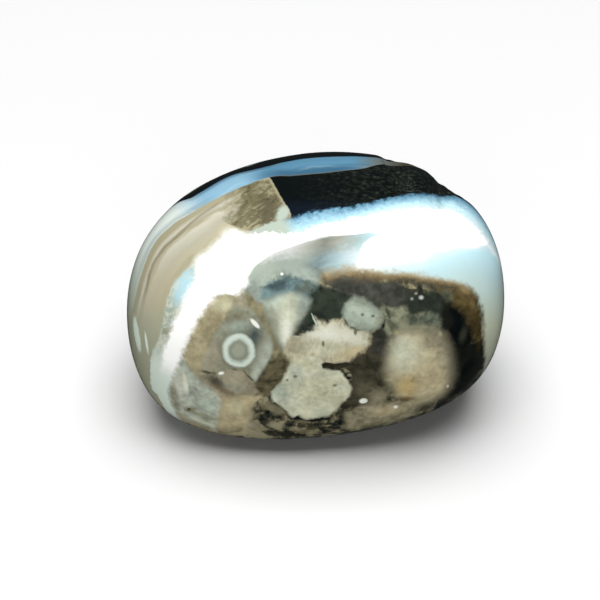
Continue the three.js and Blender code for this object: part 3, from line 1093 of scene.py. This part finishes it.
# Spots over all the fragments. The glints and sparkles among them are painted highlights: pale
# specks painted where light glints in the polish.
SPOTS = (
    ("ring dot", "moss_light", (2.6, -5.7, 8.5), (0.16, 0.13), 0, 0.9, 0.4, 0.2),
    ("shade of the ring dot", "soot", (2.6, -5.9, 8.3), (0.22, 0.12), 0, 0.9, 0.5, 0.2),
    ("patch at the foot", "ochre", (-3.3, -8.3, 6.6), (0.90, 0.37), -25, 0.7, 0.6, 0.9),
    ("light bit at the foot", "straw", (-3.0, -9.7, 5.3), (0.60, 0.22), -8, 0.85, 0.6, 0.8),
    ("second bit at the foot", "straw", (-1.5, -10.0, 5.0), (0.45, 0.15), -5, 0.6, 0.6, 0.8),
    ("black spot at the foot", "soot", (-3.6, -8.6, 6.4), (0.22, 0.15), 0, 0.9, 0.5, 0.4),
    ("black strip at the foot", "soot", (-2.4, -10.3, 4.5), (1.50, 0.16), -4, 0.8, 0.6, 0.6),
    # painted highlights: the glints and sparkles below are pale specks painted into the colour
    ("glint over the eye", "glint", (-4.5, -1.8, 10.5), (0.46, 0.16), -46, 1, 0.3, 0.15),
    ("glint under the eye", "glint", (-7.1, -5.6, 8.2), (0.22, 0.12), 10, 1, 0.35, 0.15),
    ("glint under the slab", "glint", (3.7, -7.7, 6.8), (0.30, 0.19), 5, 1, 0.35, 0.3),
    ("glint on the slate", "glint", (-2.5, 1.9, 11.0), (0.11, 0.10), 0, 1, 0.5, 0.2),
    ("glint in the strip", "glint", (6.2, -8.2, 5.8), (0.16, 0.12), 0, 0.9, 0.5, 0.2),
    ("sparkle", "glint", (7.2, 0.1, 10.4), (0.10, 0.10), 0, 0.3, 0.9, 0.3),
    ("second sparkle", "glint", (7.5, 0.5, 10.3), (0.10, 0.08), 0, 0.25, 0.9, 0.3),
    ("third sparkle", "glint", (7.9, 0.2, 10.2), (0.15, 0.13), 0, 0.55, 0.9, 0.3),
    ("fourth sparkle", "glint", (10.2, -6.6, 5.7), (0.09, 0.12), 0, 0.6, 0.5, 0.2),
)


# In the functions below f makes the nodes, g holds the fields and c holds the colours. A number set
# against u, v, w, a band or an outline is in mm, as is a noise's size, and one set against the turn
# is a share of a full circle. Each layer is laid over the one under it.


def stone_fields(f):
    """The fields that the pattern is made of: places, noises, and the distance past each band."""
    seen = f.node("ShaderNodeTexCoord", "Object")
    inputs = {"Vector": seen, "Location": PATTERN_MIDDLE, "Scale": (MM, MM, MM)}
    inputs["Rotation"] = (math.pi / 2 - PATTERN_TILT, 0, 0)
    p = f.node("ShaderNodeMapping", inputs=inputs, vector_type="TEXTURE")
    g = SimpleNamespace(p=p)
    across, half = (SPAN, SPAN, SPAN), SPAN / 2
    g.u = f.scaled(f.gradient("LINEAR", f.place(p, (-half, 0, 0), 0, across)), SPAN, -half)
    g.v = f.scaled(f.gradient("LINEAR", f.place(p, (0, -half, 0), 90, across)), SPAN, -half)
    g.w = f.scaled(f.gradient("LINEAR", f.place(p, (0, 0, -half), 0, across, -90)), SPAN, -half)
    g.grain = f.noise(p, 0.14, 2, 0.6) - 0.5
    g.fine = f.noise(p, 0.35, 3) - 0.5
    g.mid = f.noise(p, 1.1, 3) - 0.5
    g.slow = f.noise(p, 4.0, 2) - 0.5
    g.ragged = g.fine * 1.4 + g.mid * 0.7 + g.grain * 0.2
    g.markings = {
        "specks": f.step(f.noise(p, 0.4, 2), 0.36, 0.66),
        "mottle": f.step(f.noise(p, 0.85, 3, 0.5, 0.5), 0.34, 0.66),
        "clouds": f.step(f.noise(p, 1.7, 3), 0.36, 0.66),
        "fur": f.step(f.noise(f.place(p, turn=-12, size=(0.22, 0.7, 0.5)), 1.0, 2), 0.36, 0.64),
    }
    # the turn runs clockwise from straight down
    from_core = f.place(p, CORE, 90, (SPAN, -SPAN, SPAN))
    reach = f.scaled(f.gradient("SPHERICAL", from_core), -SPAN, SPAN)
    g.turn = f.gradient("RADIAL", from_core)
    g.behind = f.step((g.w - CORE[2]) / reach, -0.25, -0.85)

    def past(edge, rugged):
        points, back_radius = edge
        radius = f.blend(g.behind, f.curve(g.turn, points, FARTHEST), back_radius / FARTHEST)
        return f.scaled(radius, -FARTHEST, reach + rugged)

    g.core = past(CORE_EDGE, g.fine * 0.5 + g.mid * 0.25)
    g.white = past(WHITE_EDGE, g.fine * 0.3 + g.mid * 0.3)
    g.brown = past(BROWN_EDGE, g.mid * 0.12)
    g.blue = past(BLUE_EDGE, g.mid * 0.1)
    g.line = past(BROWN_LINE, g.mid * 0.15 + g.fine * 0.06)
    return g


def run_with_band(f, g, x, size, detail=3):
    """Noise in streaks along a band, where x is the distance past its edge."""
    return f.streaks(x + g.slow * 1.2 + g.mid * 0.25, size, detail)


def paint_shells(f, c, g):
    """Behind the blue band: black, then pale and dark bands with fine lines."""
    lines = run_with_band(f, g, g.blue, 0.3)
    shells = (g.blue + g.slow * 1.6 + lines * 0.5) * 0.25
    return f.ramp(shells, (
        (0.0, c.navy), (0.05, c.soot), (0.26, c.soot), (0.31, c.teal), (0.36, c.cream),
        (0.42, c.sage), (0.5, c.sand), (0.56, c.cream), (0.6, c.ochre), (0.7, c.slate),
        (0.78, c.milk), (0.9, c.teal),
    ))


def paint_blue(f, c, g, under):
    """The blue band, grey at both ends, with streaks along it."""
    streak = run_with_band(f, g, g.blue, 0.4)
    middle = f.ramp(g.turn + streak * 0.03, (
        (0.24, c.olive), (0.27, c.olive), (0.30, c.arc_dark), (0.33, c.arc), (0.362, c.arc),
        (0.385, c.pale_blue), (0.42, c.pale_blue), (0.44, c.sky), (0.515, c.sky),
        (0.535, c.beige), (0.56, c.bark_dark), (0.62, c.teal),
    ))
    middle = f.over(f.step(streak, 0.02, 0.25, 0.3), middle, c.arc)
    inner = g.brown + streak * 0.25
    deep = f.band(g.turn, 0.42, 0.46, 0.50, 0.545)
    middle = f.over(f.step(inner, 1.0, 0.25) * deep, middle, c.deep_blue)
    outer = f.step(g.blue + streak * 0.3, -0.5, -0.1) * f.band(g.turn, 0.35, 0.4, 0.44, 0.47)
    middle = f.over(outer * 0.7, middle, c.deep_blue)
    thread = f.band(inner, -0.1, 0.15, 0.25, 0.6) * f.band(g.turn, 0.29, 0.33, 0.375, 0.40)
    middle = f.over(thread * 0.45, middle, c.slate)
    return f.over(f.step(g.blue, CRISP, -CRISP), under, middle)


def paint_brown(f, c, g, under):
    """The brown band: cream and tan streaks, one brown line, and a knot at its upper end."""
    tone = run_with_band(f, g, g.brown, 0.28, 4)
    broad = run_with_band(f, g, g.brown, 0.9)
    share = (g.brown * -1.0) / (g.white - g.brown)
    brown = f.ramp(share + broad * 0.3 + tone * 0.15, (
        (0.0, c.straw), (0.1, c.straw), (0.2, c.cream), (0.28, c.cream_grey), (0.36, c.straw),
        (0.45, c.cream), (0.68, c.cream_grey), (0.82, c.sand_light), (0.92, c.straw),
        (1.0, c.cream_grey),
    ))
    low = f.step(g.turn + broad * 0.05, 0.35, 0.30)
    brown = f.over(low * f.step(g.line, 0.1, -0.2) * 0.7, brown, c.sand_light)
    line = f.band(g.line + tone * 0.15, -0.22, 0.0, 0.0, 0.16)
    brown = f.over(line * f.band(g.turn, 0.28, 0.31, 0.39, 0.4) * 0.6, brown, c.bark)
    brown = f.over(f.step(g.turn + tone * 0.03, 0.30, 0.265, 0.85), brown, c.olive)
    return f.over(f.step(g.brown, CRISP, -CRISP), under, brown)


def paint_black(f, c, g, under):
    """The black band beyond the knot; grainy in the open seam, with painted glints there."""
    night = f.over(f.step(g.v, 7.9, 6.8), c.soot, c.navy)
    grains = f.noise(g.p, 0.4, 4, 0.72)
    right = f.step(g.u, -3.0, 6.0)
    night = f.over(f.step(grains, 0.44, 0.62) * right, night, c.night_green)
    night = f.over(f.step(grains, 0.58, 0.75) * right, night, c.moss)
    # painted highlights: pale specks of glint painted in the open seam
    painted_seam_glints = f.step(f.noise(g.p, 0.22, 2, 0.6), 0.62, 0.74) * f.step(g.seam, 0.1, 0.7)
    night = f.over(painted_seam_glints, night, c.moss_grey)
    black = f.step(g.u + g.v * 0.52 + g.fine * 0.2, 1.28, 1.42)
    return f.over(black * f.step(g.brown, CRISP, -CRISP), under, night)


def paint_knot(f, c, g, under):
    """The knot at the upper end of the brown band, veined, with a pale rim and a pale pool."""
    edge = f.outline(g, KNOT_OUTLINE, 7.6) + g.fine * 0.12
    veins = f.noise(f.place(g.p, turn=40, size=(1.1, 0.45, 1.0)), 1.0, 5, 0.62, 0.9)
    knot = f.ramp(veins + g.fine * 0.25, (
        (0.32, c.umber), (0.42, c.bark), (0.52, c.knot), (0.62, c.ochre), (0.74, c.straw),
    ))
    swirl = f.oval(g, (-3.7, 6.9, 7.9), (0.9, 1.6, 2.5), 20) + g.ragged * 0.6
    knot = f.over(f.step(swirl, 1.6, 0.4, 0.6), knot, c.umber)
    left = f.step(g.u + g.v * -0.15 + g.ragged * 1.4 + g.mid, -6.6, -8.6)
    knot = f.over(f.step(edge, -0.3, -0.04) * f.step(g.u, -4.6, -3.4) * 0.75, knot, c.straw)
    pool = f.oval(g, (-2.5, 6.5, 8.2), (0.42, 0.75, 2.5), -25) + g.ragged * 0.5
    knot = f.over(f.step(pool, 1.5, 0.6), knot, c.teal_light)
    foot = f.oval(g, (-3.2, 5.3, 8.9), (1.6, 0.4, 2.5), 12) + g.ragged * 0.9
    knot = f.over(f.step(foot, 1.6, 0.5, 0.8), knot, c.teal_light)
    inside = f.step(edge, CRISP, -CRISP) * (1.0 - left)
    return f.over(inside * f.step(g.brown, CRISP, -CRISP), under, knot)


def milky_stone(f, c, g):
    """Milky stone, clearer towards the right end and greenish at the tail."""
    streak = run_with_band(f, g, g.white, 0.5)
    clear = f.ramp((g.v + g.slow * 2.0 + 6.0) / 14.0, (
        (0.0, c.right_low), (0.28, c.right_mid), (0.46, c.right_grey), (0.58, c.mist),
        (0.7, c.ice_mist), (0.86, c.ice_white), (1.0, c.ice_white),
    ))
    clear = f.over(f.step(streak, 0.05, 0.3, 0.25), clear, c.frost)
    milk = f.over(f.step(g.turn, 0.52, 0.62), c.milk, clear)
    lobe = f.outline(g, LOBE_OUTLINE, 7.4)
    milk = f.over(f.step(lobe + g.mid * 0.5, 1.3, 0.1, 0.8), milk, c.ice_white)
    milk = f.over(f.step(lobe + g.mid * 0.4, 0.4, -0.45), milk, c.milk)
    faint = f.step(streak, 0.0, 0.3, 0.35) * f.larger(g.behind, f.step(g.turn, 0.2, 0.12))
    milk = f.over(faint, milk, c.mist)
    mint = f.step(g.v + g.u * 0.3 + g.mid, -7.8, -10.0) * f.step(g.u, -8.6, -9.8)
    return f.over(mint, milk, c.mint)


def blue_frost(f, c, g, depth):
    """The frost under the black band: dark blue at the edge, whiter with depth."""
    cool = f.ramp(depth, (
        (0.0, c.steel), (0.12, c.frost_blue), (0.4, c.ice_blue), (0.8, c.ice_cyan),
        (1.0, c.milk),
    ))
    bright = f.ramp(depth, (
        (0.0, c.steel), (0.18, c.frost_blue), (0.4, c.ice_blue), (0.65, c.ice_cyan),
        (0.9, c.ice_white), (1.0, c.milk),
    ))
    cool = f.over(f.step(g.turn, 0.505, 0.54), cool, bright)
    return f.over(f.step(g.turn, 0.455, 0.435), cool, c.teal_light)


def green_frost(f, c, g, frost):
    """The grey-green crystals beside the brown band, with a blue patch and a brown spot."""
    cloudy = g.fine * 1.5 + g.mid
    crystal = f.over(f.step(cloudy, -0.25, 0.25), c.teal, c.frost_warm)
    crystal = f.over(f.step(frost, 0.0, -0.2, 0.4), crystal, c.olive)
    crystal = f.over(f.step(g.turn, 0.33, 0.35), crystal, c.cream)
    ice = f.oval(g, (-9.8, 0.9, 8.6), (0.7, 1.2, 3.0), -25) + cloudy * 0.8
    crystal = f.over(f.step(ice, 1.7, 0.4, 0.9), crystal, c.ice_cyan)
    spot = f.oval(g, (-11.2, -2.4, 7.6), (0.4, 0.25, 3.0), 20) + cloudy
    crystal = f.over(f.step(spot, 1.4, 0.7, 0.6), crystal, c.ochre)
    return f.over(f.step(g.turn, 0.262, 0.235), crystal, c.mint)


def paint_white(f, c, g, under):
    """The white band, with frost on its outer side: blue under the black band and grey-green
    beside the brown one. Where the band meets the knot it is plain, with a soft edge."""
    frost = f.noise(g.p, 0.42, 4, 0.7, 0.5) - 0.5
    width = f.curve(g.turn, FROST_WIDTH, WIDEST_FROST) * WIDEST_FROST
    depth = (g.white * -1.0 + frost * 0.45) / width + frost * 0.25
    side = f.step(g.turn + frost * 0.02, 0.385, 0.41)
    share = f.blend(side, f.step(depth, 1.3, 0.7), f.step(depth, 1.2, 0.8))
    plain = f.band(g.turn, 0.332, 0.35, 0.39, 0.402)
    frosted = f.over(side, green_frost(f, c, g, frost), blue_frost(f, c, g, depth))
    milk = f.over(share * (1.0 - plain), milky_stone(f, c, g), frosted)
    soft = f.blend(plain, 0.06, 0.55)
    return f.over(f.step(g.white, soft, soft * -1.0), under, milk)


def paint_haze(f, c, g, under):
    """A clear smoky tongue between the two lobes of the white band."""
    tongue = f.outline(g, TONGUE_OUTLINE, 10.4, middle=(0.2, 3.7)) + g.mid * 0.15
    streaks = f.noise(f.place(g.p, turn=20, size=(3.2, 0.55, 1.0)), 1.0, 4, 0.6) - 0.5
    across = (g.u + streaks * 2.0 + 5.0) / 11.0
    top = f.ramp(across, (
        (0.0, c.haze_white), (0.1, c.haze_white), (0.28, c.haze_grey), (0.42, c.haze_dark),
        (0.53, c.haze_brown), (0.62, c.haze_dark), (0.72, c.haze_blue), (0.9, c.ice_cyan),
    ))
    foot = f.ramp(across, (
        (0.0, c.lichen), (0.2, c.fog), (0.36, c.fog), (0.48, c.haze_deep), (0.6, c.haze_light),
        (0.7, c.haze_edge), (0.8, c.ice_white),
    ))
    clear = f.over(f.step(g.v + g.u * -0.1 + streaks * 1.6 + g.fine, 4.1, 2.9), top, foot)
    return f.over(f.step(tongue, 0.22, -0.2), under, clear)


def paint_spots(f, c, g, under, spots):
    """The spots, dots, smears and lines, one over another."""
    colour = under
    for _, tint, middle, radii, turn, much, soft, rugged in spots:
        local = f.place(g.p, middle, turn, [OVAL_REACH * r for r in (*radii, SPOT_DEPTH)])
        near = f.scaled(g.ragged, -rugged / OVAL_REACH, f.gradient("SPHERICAL", local))
        edge, fade = 1 - 1 / OVAL_REACH, soft / OVAL_REACH
        share = f.step(near, edge - fade, edge + fade, much)
        colour = f.over(share, colour, getattr(c, tint))
    return colour


def paint_fragments(f, c, g):
    """The core's dark ground, lighter at the left, and the fragments in it."""
    ground = f.ramp(f.noise(g.p, 0.8, 3, 0.55, 0.3), (
        (0.28, c.soot), (0.40, c.moss_black), (0.50, c.umber), (0.62, c.ochre),
    ))
    light = f.over(g.markings["mottle"], c.warm_grey, c.ochre)
    colour = f.over(f.step(g.u + g.mid * 2.0, -4.2, -5.0), ground, light)
    for _, tint, mark, noise, much, corners, depth, soft, rugged, spots in FRAGMENTS:
        stone = f.over(g.markings[noise] * much, getattr(c, tint), getattr(c, mark))
        stone = paint_spots(f, c, g, stone, spots)
        edge = f.scaled(g.ragged, rugged, f.outline(g, corners, depth))
        colour = f.over(f.step(edge, soft, -soft), colour, stone)
    return paint_spots(f, c, g, colour, SPOTS)


def paint_rim(f, c, g, under):
    """The brown rim under the white band, dark towards the core."""
    inside = g.core * -1.0 + g.ragged * 0.4
    top = f.band(g.turn, 0.462, 0.482, 0.66, 0.70)
    rust = f.ramp(inside + g.fine * 0.5, (
        (0.0, c.gold_rim), (0.22, c.rust), (0.45, c.rust_grey), (0.7, c.plum_grey),
    ))
    return f.over(f.step(inside + g.mid, 0.85, 0.25) * top, under, rust)


def paint_eye(f, c, g, under):
    """The ring eye: a pale ring with a thin line inside it, round a threaded middle."""
    ring = f.oval(g, EYE_MIDDLE, EYE_RADII, EYE_TURN) + g.mid * 0.3 + g.fine * 0.12
    eye = f.over(f.step(ring + g.slow * 0.2, 0.5, 0.84), c.eye_rim, c.mint)
    eye = f.over(f.step(ring, 0.66, 0.3), eye, c.eye)
    threads = f.noise(f.place(g.p, size=(0.12, 1.2, 1.0)), 1.0, 2) - 0.5
    eye = f.over(f.step(threads, 0.0, 0.2, 0.5) * f.step(ring, 0.5, 0.4), eye, c.sage_light)
    eye = f.over(f.step(ring, 0.86, 1.04, 0.5), eye, c.sage_light)
    return f.over(f.step(ring, 1.1, 0.92), under, eye)


def paint_blocks(f, c, g, under):
    """Broken blocks of all the core's stones, in the underside."""
    q = f.shaken(g.p, 0.7, 0.3, 3)
    pick, _, _ = f.parts(f.cells(q, 2.0, output="Color"))
    blocks = f.ramp(pick, (
        (0.0, c.umber), (0.2, c.moss), (0.36, c.sage), (0.52, c.bark), (0.66, c.straw),
        (0.8, c.wool), (0.92, c.plum),
    ), "CONSTANT")
    gap = f.cells(q, 2.0, "DISTANCE_TO_EDGE")
    hidden = f.step(g.v + g.mid, -9.6, -10.6) * f.step(gap + g.fine * 0.3, 0.08, 0.2)
    return f.over(hidden, under, f.over(g.markings["mottle"] * 0.4, blocks, c.ochre))


def paint_core(f, c, g, under):
    """The core, all its stones a little lighter and darker in places but for the eye."""
    colour = paint_rim(f, c, g, paint_fragments(f, c, g))
    colour = f.toned(colour, g.fine * 0.6 + g.mid * 1.0 + g.grain * 0.15)
    colour = paint_eye(f, c, g, colour)
    colour = paint_blocks(f, c, g, colour)
    soft = f.blend(f.band(g.turn, 0.36, 0.39, 0.455, 0.475), 0.25, 0.5)
    return f.over(f.step(g.core, soft, soft * -1.0), under, colour)


def paint_left_reflections_and_marks(f, c, g, under):
    """The pale slivers in the brown band's foot, which are painted reflections, and the dark green
    marks in the mint tail.
    """
    colour = under
    for tint, middle, radii, turn in LEFT_REFLECTIONS_AND_MARKS:
        near = f.oval(g, middle, radii, turn) + g.fine * 0.5
        colour = f.over(f.step(near, 1.3, 0.7), colour, getattr(c, tint))
    return colour


def agate_finish(c):
    """The finish of the stone: banded shells round a core of fragments, with a ring eye.

    The pattern's coordinates are millimetres from the stone's middle: u along its length, v up the
    eye's side and w out of it. A band is what lies between two distances from the core, and each
    distance is a curve over the turn about the core.
    """
    f = Finish("agate")
    g = stone_fields(f)
    g.seam = f.node("ShaderNodeAttribute", "Fac", attribute_name="seam")
    colour = paint_shells(f, c, g)
    colour = paint_blue(f, c, g, colour)
    colour = paint_brown(f, c, g, colour)
    colour = paint_black(f, c, g, colour)
    colour = paint_knot(f, c, g, colour)
    colour = paint_left_reflections_and_marks(f, c, g, colour)
    colour = paint_white(f, c, g, colour)
    colour = paint_haze(f, c, g, colour)
    colour = paint_core(f, c, g, colour)
    f.feed(f.shader.inputs["Base Color"], colour)

    # polished, with faint wear, and rough where the seam was never polished
    polish = f.noise(g.p, 2.5, 3) * WEAR + POLISH
    f.feed(f.shader.inputs["Roughness"], f.blend(g.seam, polish, OPEN_ROUGHNESS))
    lumps = f.noise(g.p, 0.3, 3, 0.7) * (g.seam * FINE_LUMPS)
    bump = {"Strength": 1.0, "Distance": MM, "Height": lumps}
    f.feed(f.shader.inputs["Normal"], f.node("ShaderNodeBump", inputs=bump))
    f.feed(f.shader.inputs["IOR"], QUARTZ_IOR)
    return f.material


# ---------------------------------------------------------------- operators


class AGATE_OT_stone(bpy.types.Operator):
    """Makes the pebble in place of its plain solid"""

    bl_idname = "agate.stone"
    bl_label = "Agate pebble"

    def execute(self, context):
        s = context.scene.agate_shape
        grids, seam = stone_surface(s.cells, s.swell / MM, s.seam_lumps / MM)
        mesh = mesh_from_grids("agate_pebble", grids, seam)
        stone = bpy.data.objects.new("agate_pebble", mesh)
        context.scene.collection.objects.link(stone)
        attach(stone, "root")
        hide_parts("agate")
        colours = context.scene.agate_colours
        palette = {name: tuple(getattr(colours, name)) for name in colours.__annotations__}
        stone.data.materials.append(agate_finish(SimpleNamespace(**palette)))
        return {"FINISHED"}


def soft_light(scene, name, place, size, power, in_gloss):
    """A soft rectangular light at place that points at the stone. It either shines in the polish
    or lights the stone."""
    lamp = bpy.data.lights.new(name, "AREA")
    lamp.shape = "RECTANGLE"
    lamp.size, lamp.size_y = size
    lamp.energy = power
    light = bpy.data.objects.new(name, lamp)
    light.location = place
    light.rotation_euler = (Vector(LIGHT_AIM) - Vector(place)).to_track_quat("-Z", "Y").to_euler()
    light.visible_glossy = in_gloss
    light.visible_diffuse = not in_gloss
    scene.collection.objects.link(light)


class AGATE_OT_stage(bpy.types.Operator):
    """Makes the floor, the lights and the camera"""

    bl_idname = "agate.stage"
    bl_label = "Stage"

    def execute(self, context):
        scene, s = context.scene, context.scene.agate_stage
        mesh = bpy.data.meshes.new("floor")
        reach = [-FLOOR_REACH, FLOOR_REACH]
        x, y = np.meshgrid(reach, reach, indexing="ij")
        corners = np.stack([x, y, np.zeros_like(x)], -1).reshape(-1, 3)
        mesh.from_pydata(corners.tolist(), [], [(0, 2, 3, 1)])
        finish = bpy.data.materials.new("pale floor")
        finish.use_nodes = True
        shader = finish.node_tree.nodes["Principled BSDF"]
        shader.inputs["Base Color"].default_value = (*s.floor_colour, 1)
        shader.inputs["Roughness"].default_value = 0.9
        shader.inputs["Specular IOR Level"].default_value = 0.0
        mesh.materials.append(finish)
        floor = bpy.data.objects.new("floor", mesh)
        floor.visible_glossy = False
        scene.collection.objects.link(floor)

        world = bpy.data.worlds.new("studio")
        world.use_nodes = True
        sky = world.node_tree.nodes["Background"]
        sky.inputs["Color"].default_value = SKY_COLOUR
        sky.inputs["Strength"].default_value = SKY_STRENGTH
        scene.world = world
        scene.view_settings.view_transform = "Standard"

        soft_light(scene, "key", KEY_PLACE, KEY_SIZE, s.key_power, False)
        soft_light(scene, "fill", FILL_PLACE, FILL_SIZE, s.fill_power, False)
        soft_light(scene, "window", WINDOW_PLACE, WINDOW_SIZE, s.window_power, True)

        lens = bpy.data.cameras.new("camera")
        lens.lens, lens.sensor_width = LENS, SENSOR
        lens.clip_start, lens.clip_end = 0.01, 10.0
        camera = bpy.data.objects.new("camera", lens)
        up = Vector((0, math.sin(PATTERN_TILT), math.cos(PATTERN_TILT)))
        back = Vector((0, -math.cos(PATTERN_TILT), math.sin(PATTERN_TILT)))
        middle = Vector(CAMERA_MIDDLE) * MM
        camera.location = middle + back * CAMERA_DISTANCE
        aim = middle - Vector((AIM_LEFT, 0, 0)) + up * AIM_UP
        camera.rotation_euler = (aim - camera.location).to_track_quat("-Z", "Y").to_euler()
        scene.collection.objects.link(camera)
        scene.camera = camera
        return {"FINISHED"}


class AGATE_PT_panel(bpy.types.Panel):
    """The settings of the stone and the stage, and a button for each"""

    bl_idname = "AGATE_PT_panel"
    bl_label = "Agate gemstone"
    bl_space_type = "VIEW_3D"
    bl_region_type = "UI"
    bl_category = "Agate"

    def draw(self, context):
        layout = self.layout
        scene = context.scene
        for group in (scene.agate_shape, scene.agate_colours, scene.agate_stage):
            box = layout.box()
            for name in group.__annotations__:
                box.prop(group, name)
        for operator in OPERATORS:
            layout.operator(operator.bl_idname)


OPERATORS = (AGATE_OT_stone, AGATE_OT_stage)
CLASSES = (AgateColourSettings, AgateShapeSettings, AgateStageSettings, *OPERATORS, AGATE_PT_panel)


def register():
    for made in CLASSES:
        bpy.utils.register_class(made)
    bpy.types.Scene.agate_colours = PointerProperty(type=AgateColourSettings)
    bpy.types.Scene.agate_shape = PointerProperty(type=AgateShapeSettings)
    bpy.types.Scene.agate_stage = PointerProperty(type=AgateStageSettings)


def unregister():
    del bpy.types.Scene.agate_colours
    del bpy.types.Scene.agate_shape
    del bpy.types.Scene.agate_stage
    for made in reversed(CLASSES):
        bpy.utils.unregister_class(made)


def main():
    register()
    bpy.ops.agate.stone()
    bpy.ops.agate.stage()


if __name__ == "__main__":
    main()
